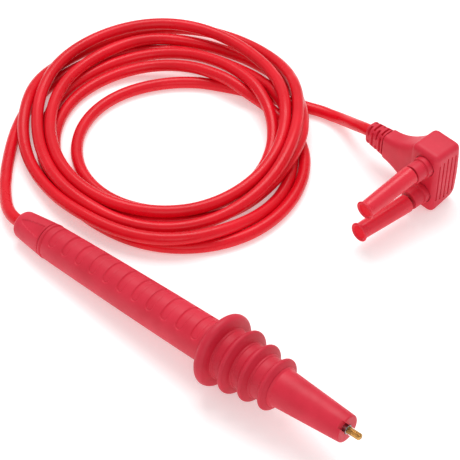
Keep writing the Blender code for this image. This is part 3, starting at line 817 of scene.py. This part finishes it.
def make_nose():
    """The nose: a plain cone with a soft end, slotted across where the stud stands."""
    rear = RIB_STATIONS[-1] + RIB_HALF_WIDTHS[-1] + 0.16
    bore = FERRULE_RADIUS + 0.08
    outline = [
        (5.2, rear, 0),
        (NOSE_REAR_RADIUS + 0.75, rear, 0.05),
        (NOSE_REAR_RADIUS - 0.05, rear + 0.75, 0.9),
        (NOSE_END_RADIUS, NOSE_END, 0.75),
        (bore, NOSE_END, 0),
        (bore, 55.0, 0),
        (STUD_RADIUS + 0.2, 50.0, 0),
        (5.0, 40.0, 0),
    ]
    cone = fillet(outline[:5], 8, closed=False) + [(r, z) for r, z, _ in outline[5:]]
    nose = scratch("nose", turned("nose", cone, 128))
    slot = scratch(
        "slot",
        box_mesh("slot", (24.0, SLOT_WIDTH, 2 * SLOT_DEPTH)),
        Matrix.Translation((0, 0, NOSE_END * MM)) @ Matrix.Rotation(SLOT_TURN, 4, "Z"),
    )
    cut(nose, slot)
    bevel = nose.modifiers.new("Soft edges", "BEVEL")
    bevel.width = 0.28 * MM
    bevel.segments = 3
    bevel.limit_method = "ANGLE"
    bevel.angle_limit = math.radians(50)
    piece = new_object("nose", baked(nose, [slot]), "matte_red", PROBE)
    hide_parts("nose_cone")


def make_ferrule():
    """The plain ring that the stud stands in, close round it and rounded over at its front."""
    low, high = FERRULE_ENDS
    bore = STUD_RADIUS + 0.02
    outline = [(bore, low, 0), (FERRULE_RADIUS, low, 0.1), (FERRULE_RADIUS, high, 0.3), (bore, high, 0.1)]
    ferrule = new_object("stud_ferrule", turned("stud_ferrule", fillet(outline), 72), "steel", PROBE)
    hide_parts("tip_ferrule")


def make_stud():
    """The stud with its real helical thread, a bare neck and a rounded lead-in."""
    sides = 72
    angles = ring_angles(sides)
    foot, top = 57.0, STUD_END - 0.02
    depth = 0.26
    rings = []
    for station in [*np.arange(foot, top, 0.05), top]:
        phase = (station / THREAD_PITCH - angles / (2 * math.pi)) % 1.0
        ridge = np.clip(1.35 * (1 - 2 * np.abs(phase - 0.5)) - 0.12, 0.0, 1.0)
        radius = STUD_RADIUS - depth * (1 - ridge)
        lead_in = STUD_RADIUS - 0.95 * (1 - np.clip((STUD_END - station) / 0.85, 0.0, 1.0)) ** 2
        neck = STUD_RADIUS - 0.12 if station < NOSE_END + 0.5 else STUD_RADIUS
        radius = np.minimum(radius, min(lead_in, neck))
        points = [radius * np.cos(angles), radius * np.sin(angles), np.full(sides, station)]
        rings.append(np.stack(points, axis=1))
    stud = new_object("tip_stud", skin("tip_stud", rings, False), "brass", PROBE, smooth=40)
    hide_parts("threaded_tip")


# ---------------------------------------------------------------- plug


def squarish(half_v, half_z, sides, power):
    """A ring of (v, z) points on a rounded square."""
    angles = ring_angles(sides)
    v = half_v * np.sign(np.cos(angles)) * np.abs(np.cos(angles)) ** power
    z = half_z * np.sign(np.sin(angles)) * np.abs(np.sin(angles)) ** power
    return v, z


def inset(points, amount):
    """An outline drawn in from each of its sides by the same amount."""
    points = np.asarray(points, float)
    before = points - np.roll(points, 1, axis=0)
    after = np.roll(before, -1, axis=0)
    first, second = (
        np.stack([side[:, 1], -side[:, 0]], axis=1) / np.linalg.norm(side, axis=1)[:, None]
        for side in (before, after)
    )
    inward = first + second
    inward /= np.linalg.norm(inward, axis=1)[:, None]
    return points + inward * amount / (inward * first).sum(axis=1)[:, None]


def block_profile():
    """The block seen from the end, as (v, z) points: a flat front, a bowed back and a rounded heel."""
    front, top, corner = -BLOCK_DEPTH / 2, PLUG_HEIGHT, BLOCK_CORNER
    crown = 7.9
    back = [(crown, top, 0.0), (8.4, 24.0, 60.0), (8.7, 17.0, 60.0), (8.5, 11.0, 20.0)]
    heel, heel_radius = (3.2, 6.8), 5.0
    points = arc((front + corner, corner), corner, 270, 180, 8)
    points += arc((front + corner, top - corner), corner, 180, 90, 8)
    points += arc((crown - corner, top - corner), corner, 90, 10, 8)
    points += fillet(back, 5, closed=False)[1:]
    points += arc(heel, heel_radius, -5, -75, 12)
    return points


def block_mesh():
    """The block's side outline carried along u and drawn in round both ends."""
    outline = block_profile()
    rings = []
    for sign in (-1, 1):
        half = []
        for angle in np.radians(np.linspace(0, 90, 9)):
            u = BLOCK_WIDTH / 2 - BLOCK_ROUNDING * (1 - math.cos(angle))
            drawn = inset(outline, BLOCK_ROUNDING * (1 - math.sin(angle)))
            half.append(np.column_stack([np.full(len(drawn), sign * u), drawn]))
        rings += half if sign < 0 else half[::-1]
    return skin("block", rings, False)


def arm_mesh():
    """The arm, flaring in a curve from the strain relief to the block."""
    face = -BLOCK_WIDTH / 2
    sides = 64
    rings = []
    for u in [*np.linspace(ARM_END, face, 28), face + 4.0]:
        along = (min(u, face) - ARM_END) / (face - ARM_END)
        v, z = squarish(4.4 + 1.7 * along**1.5, 1.0, sides, 0.42)
        top, bottom = 6.6 + 8.6 * along**2.0, 6.6 + 7.1 * along**1.6
        z = np.where(z > 0, top, bottom) * z
        rings.append(np.stack([np.full(sides, u), ARM_V + v, ARM_HEIGHT + z], axis=1))
    return skin("arm", rings, False)


def make_plug_body():
    """The block and arm as one soft-edged moulding, with fluted grip lines and seats for the collars."""
    shape = bmesh.new()
    for mesh in (block_mesh(), arm_mesh()):
        shape.from_mesh(mesh)
    both = bpy.data.meshes.new("moulding")
    shape.to_mesh(both)
    shape.free()
    block = scratch("moulding", both)
    remesh = block.modifiers.new("Even", "REMESH")
    remesh.mode = "VOXEL"
    remesh.voxel_size = 0.32 * MM
    soften = block.modifiers.new("Soften", "CORRECTIVE_SMOOTH")
    soften.factor = 0.5
    soften.iterations = 10
    soften.use_only_smooth = True
    body = scratch("body", baked(block))
    helpers = grip_flutes() + collar_seats()
    for helper in helpers:
        cut(body, helper)
    piece = new_object("plug_moulding", baked(body, helpers), "matte_red", PLUG, smooth=42)
    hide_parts("plug_body")
    return piece


def grip_flutes():
    """Cutters for the upright grip lines on the block's end."""
    made = []
    count = 5
    pitch = 2.5
    for index in range(count):
        from_middle = index - (count - 1) / 2
        size = (1.2, 0.9, 23.0 - 1.2 * abs(from_middle))
        centre = (BLOCK_WIDTH / 2, pitch * from_middle - 0.3, PIN_MIDDLE)
        mesh = box_mesh(f"flute_{index}", size, centre, 0.4)
        made.append(scratch(f"flute_{index}", mesh))
    return made


def collar_seats():
    """Cutters for the shallow counterbores that the collars stand in."""
    made = []
    radius = COLLAR_BASE_RADIUS + GAP
    low, high = -0.8, 3.0
    outline = [(0.6, low), (radius, low), (radius, high), (0.6, high)]
    for side, height in PIN_HEIGHTS.items():
        place = PLUG.inverted() @ pin_frame(height)
        made.append(scratch("seat_" + side, turned("seat_" + side, outline, 72, looped=False), place))
    return made


def make_relief():
    """The tapered, ribbed strain relief: rings of slots, with the bridges between them staggered."""
    low, high = RELIEF_END, ARM_END - GAP
    slots = 4
    first, pitch, width = low + 1.9, 2.3, 0.9
    sides = 128
    angles = ring_angles(sides)
    stations = np.arange(low, high + 0.01, 0.12)
    rings = []
    for u in stations:
        along = (u - low) / (high - low)
        rounding = 0.7 * (1 - math.sqrt(1 - max(0.0, 1 - (u - low) / 0.8) ** 2 * 0.98))
        v, z = squarish(3.75 + 0.5 * along - rounding, 4.9 + 1.5 * along - rounding, sides, 0.62)
        sink = np.ones(sides)
        for index in range(slots):
            in_slot = 1 - smoothstep(abs(u - (first + pitch * index)), width / 2 - 0.16, width / 2 + 0.1)
            phase = (angles / (math.pi / 2) + 0.5 * (index % 2)) % 1.0
            open_here = 1 - smoothstep(np.abs(phase - 0.5), 0.36, 0.42)
            sink -= in_slot * open_here * 0.24
        rings.append(np.stack([np.full(sides, u), ARM_V + v * sink, ARM_HEIGHT + z * sink], axis=1))
    for u in (high, low):
        v, z = CABLE_BORE * np.cos(angles), CABLE_BORE * np.sin(angles)
        rings.append(np.stack([np.full(sides, u), ARM_V + v, ARM_HEIGHT + z], axis=1))
    piece = new_object("strain_relief", skin("strain_relief", rings, True), "matte_red", PLUG, smooth=50)
    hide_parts("plug_strain_relief")
    return piece


def make_collar(side, height):
    """The stepped collar round a pin: a wide base, a groove and a plain barrel with a soft rim."""
    length = COLLAR_LENGTH
    bore = 1.75
    sunk = -0.5
    groove = COLLAR_RADIUS - 0.35
    outline = [
        (bore, sunk, 0),
        (COLLAR_BASE_RADIUS, sunk, 0.1),
        (COLLAR_BASE_RADIUS, length - 5.7, 0.35),
        (groove, length - 5.45, 0.3),
        (groove, length - 4.75, 0.3),
        (COLLAR_RADIUS, length - 4.5, 0.2),
        (COLLAR_RADIUS, length, 0.5),
        (bore, length, 0.15),
    ]
    mesh = turned("collar_" + side, fillet(outline), 96)
    piece = new_object("collar_" + side, mesh, "matte_red", pin_frame(height))
    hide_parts("pin_collar_" + side)
    return piece


def make_cap(side, height):
    """The loose cap: a tapered sleeve with a rolled lip round its dished end."""
    base = COLLAR_LENGTH + GAP
    slide = Vector(CAP_JOINTS["cap_" + side]["axis"])
    out = Vector(MOUNTS["plug_seat"]["axis"])
    low = base + CAP_BASE_RADIUS * math.sin(slide.angle(out)) + CAP_STANDOFFS[side]
    high = low + CAP_LENGTH
    profile = [(0.15, high - 0.62), (1.2, high - 0.6)]
    profile += arc((CAP_LIP_RADIUS - 1.3, high - 0.1), 0.5, -90, -40, 4)
    profile += arc((CAP_LIP_RADIUS - 0.5, high - 0.5), 0.5, 120, -60, 12)
    outline = [
        (CAP_END_RADIUS + 0.06, high - 1.15, 0.4),
        (CAP_END_RADIUS, high - 1.6, 0.6),
        (CAP_BASE_RADIUS, low, 0.25),
        (CAP_BORE, low, 0.1),
        (CAP_BORE - 0.35, high - 2.2, 0.2),
        (0.15, high - 2.2, 0),
    ]
    profile += fillet(outline, 5, closed=False)
    mesh = turned("cap_" + side, profile, 96)
    piece = new_object("cap_" + side, mesh, "cap_red", cap_frame(side, height), "cap_" + side)
    # The sunken disc at the end is duller than the sleeve.
    mesh.materials.append(MATERIALS["cap_end"])
    for polygon in mesh.polygons:
        if polygon.normal.z > 0.95:
            polygon.material_index = 1
    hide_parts("protective_cap_" + side)
    return piece


def keep_nodes():
    """The CAD nodes that stay get their finished materials."""
    slots = {part["node"]: part["material_slot"] for part in frame["record"]["subparts"]}
    for node, slot in slots.items():
        obj = bpy.data.objects.get(node)
        if obj and obj.data.materials:
            for index in range(len(obj.data.materials)):
                obj.material_slots[index].link = "OBJECT"
                obj.material_slots[index].material = MATERIALS[slot]


MATERIALS = make_materials()
make_camera()
CABLE, CABLE_LENGTH = make_cable()
make_floor()
make_lights()
make_handle()
make_boot()
make_guard()
make_nose()
make_ferrule()
make_stud()
PLUG_PIECES = [make_plug_body(), make_relief()]
for pin_side, pin_height in PIN_HEIGHTS.items():
    PLUG_PIECES += [make_collar(pin_side, pin_height), make_cap(pin_side, pin_height)]
PLUG_PIECES += ["banana_pin_upper", "banana_pin_lower", "spring_cage_upper", "spring_cage_lower"]
PLUG_PIECES += ["pin_bridge", "plug_crimp", "plug_lead_core"]
keep_nodes()
